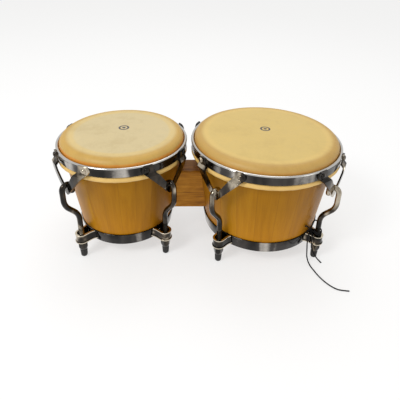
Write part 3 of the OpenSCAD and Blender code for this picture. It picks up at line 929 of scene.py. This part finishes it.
def makeTips(drum):
    side = drum["side"]
    for i, lug in enumerate(drum["lugs"], 1):
        node = f"{side}_foot_tip_{i}"
        low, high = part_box(node)
        wide, soft, edge = (foot[key] * mm for key in ("tipRadius", "tipRound", "tipEdge"))
        footTaper, midTaper = (taper * mm for taper in foot["tipTaper"])
        outline = [(0, low[2])] + arc(wide - footTaper - soft, low[2] + soft, soft, -90, 0, 8)
        outline += [(wide - midTaper, high[2] * 0.6), (wide, high[2] * 0.78), (wide, high[2] - edge),
                    (wide - edge, high[2]), (0, high[2])]
        bm = spun(outline, lug["spot"].x, 40, lug["spot"].y, closed=False)
        body = f"{side}_nut_{i}"
        addPiece(f"{side}FootTip{i}", bm, [blackRubber], body, [node], 50)


def makeFittings(drum):
    side = drum["side"]
    fittings = (    # piece, node, material, slot, edge in millimetres, segments
        ("LugBrackets", "_lug_brackets", bracketChrome, "chrome", 0.45, 3),
        ("LugWashers", "_lug_washers", plainSteel, "plain_steel", 0.2, 2),
        ("BlockBolts", "_block_bolts", plainSteel, "plain_steel", 0.4, 2),
        ("BlockWashers", "_block_washers", plainSteel, "plain_steel", 0.2, 2),
    )
    for piece, node, material, slot, edge, segments in fittings:
        softened(side + piece, side + node, [material], "root", edge * mm, segments)
    for i in range(1, 5):
        softened(f"{side}TuningNut{i}", f"{side}_tuning_nut_{i}", [darkReflectionChrome], f"{side}_nut_{i}",
                 foot["nutEdge"] * mm)


for drum in drums:
    makeRing(drum)
    makeTips(drum)
    makeFittings(drum)
print("bongos: feet and brackets fitted")


block = {
    "dark": (0.19, 0.066, 0.006),
    "mid": (0.41, 0.160, 0.012),
    "light": (0.58, 0.260, 0.026),
    "seam": (0.05, 0.018, 0.004),
    "seamAt": 0.42,         # height of the glued seam, as a part of the block's
    "grainScale": 520,
    "figureScale": 60,
    "grainDepth": 0.14,     # millimetres, as the edges below
    "edge": 0.8,
    "insertEdge": 0.3,
}


def blockMaterial():
    graph = Graph("blockWood", {
        "Roughness": 0.4, "Coat Weight": 0.15, "Coat Roughness": 0.1,
        "Specular IOR Level": 0.25, "Specular Tint": (1.0, 0.62, 0.16, 1)})
    x, y, z = graph.split(graph.place)
    low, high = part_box("centre_block")
    grain = graph.noise(graph.vector(x * 0.05, y, z), block["grainScale"], 6, 0.65, 0.4)
    figure = graph.noise(graph.vector(x * 0.22, y * 0.8, z), block["figureScale"], 4, 0.55, 1.4)
    cloud = graph.noise(graph.place, 22, 2)
    base = graph.ramp(grain * 0.4 + figure * 0.4 + cloud * 0.2, [
        (0.36, block["dark"]), (0.5, block["mid"]), (0.64, block["light"])])
    seamZ = low[2] + (high[2] - low[2]) * block["seamAt"]
    seam = graph.step((z - seamZ).calculate("ABSOLUTE"), 0.5 * mm, 0.15 * mm)
    base = graph.mix(seam * 0.55, base, block["seam"])
    graph.drive("Base Color", base)
    graph.drive("Roughness", 0.32 + grain * 0.22)
    graph.bump(grain * 0.4 - seam * 0.6, block["grainDepth"] * mm, 0.4)
    return graph.material


softened("centreBlock", "centre_block", [blockMaterial()], "root", block["edge"] * mm)
softened("blockInserts", "block_inserts", [turnedBrass], "root", block["insertEdge"] * mm, 2)
print("bongos: block fitted")


studio = {
    "floor": (0.38, 0.38, 0.38),
    "glow": 0.58,           # light that the floor gives of itself, as a light table does
    "lamps": [  # name, place, aim, width, watts
        ("key", (-1.0, -0.9, 1.4), (0, 0, 0.1), 0.5, 13),
        ("fill", (1.2, -0.7, 1.0), (0, 0, 0.1), 0.35, 0.7),
        ("top", (0.1, 0.7, 1.6), (0, 0, 0.1), 0.9, 5),
    ],
    "sky": 0.80,
    "skyColour": (1.0, 0.99, 0.97),
    "floorHalf": 9,         # metres
}


def makeStudio():
    bm = bmesh.new()
    bmesh.ops.create_grid(bm, x_segments=1, y_segments=1, size=studio["floorHalf"])
    mesh = bpy.data.meshes.new("floor")
    bm.to_mesh(mesh)
    bm.free()
    graph = Graph("paleFloor", {"Roughness": 0.9, "Specular IOR Level": 0.0, "Emission Color": (1, 1, 1, 1),
                                "Emission Strength": studio["glow"]})
    graph.drive("Base Color", (*studio["floor"], 1))
    mesh.materials.append(graph.material)
    floor = bpy.data.objects.new("floor", mesh)
    bpy.context.scene.collection.objects.link(floor)
    for name, place, aim, width, watts in studio["lamps"]:
        data = bpy.data.lights.new(name, "AREA")
        data.shape = "SQUARE"
        data.size = width
        data.energy = watts
        lamp = bpy.data.objects.new(name, data)
        bpy.context.scene.collection.objects.link(lamp)
        towards = (Vector(aim) - Vector(place)).to_track_quat("-Z", "Y")
        lamp.matrix_world = Matrix.Translation(place) @ towards.to_matrix().to_4x4()
    world = bpy.data.worlds.new("studio")
    world.use_nodes = True
    sky = world.node_tree.nodes["Background"]
    sky.inputs["Color"].default_value = (*studio["skyColour"], 1)
    sky.inputs["Strength"].default_value = studio["sky"]
    bpy.context.scene.world = world
    bpy.context.scene.view_settings.view_transform = "Standard"


makeStudio()
print("bongos: studio lit")
